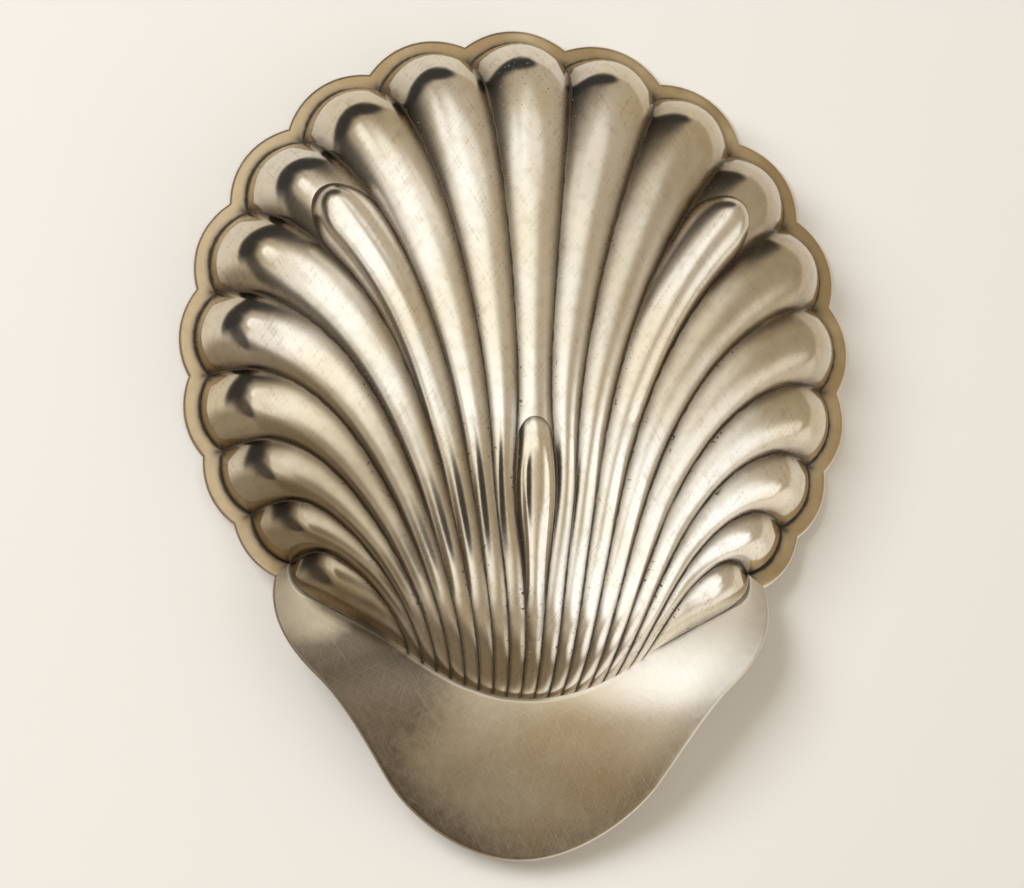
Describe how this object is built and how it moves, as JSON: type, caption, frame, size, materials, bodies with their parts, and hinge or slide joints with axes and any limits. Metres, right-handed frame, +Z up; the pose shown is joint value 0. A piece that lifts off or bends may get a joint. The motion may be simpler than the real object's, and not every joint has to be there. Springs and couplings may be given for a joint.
{
  "type": "shell dish",
  "caption": "Scallop-shaped serving dish of silver plate: fluted bowl, flat scalloped border, plain curved thumb rest at the hinge, low feet on the flutes.",
  "frame": {"origin": "on the table, in the middle of the dish's length and width", "axes": "+Z up, out of the hollow; +Y towards the top of the fan, with the hinge and its thumb rest at -Y; +X across"},
  "size_m": [0.1134, 0.1404, 0.0214],
  "materials": {
    "bowl_plate": "silver plate on brass, polished, with tarnish in the creases",
    "border_plate": "silver plate worn through to the brass, satin",
    "apron_plate": "silver plate, scratched and dulled by handling",
    "foot_plate": "silver plate on brass, polished, worn on the flats"
  },
  "bodies": {
    "root": {"shell_bowl": "bowl_plate", "rim_border": "border_plate", "hinge_apron": "apron_plate", "right_foot": "foot_plate", "left_foot": "foot_plate", "hinge_foot": "foot_plate"}
  },
  "joints": []
}
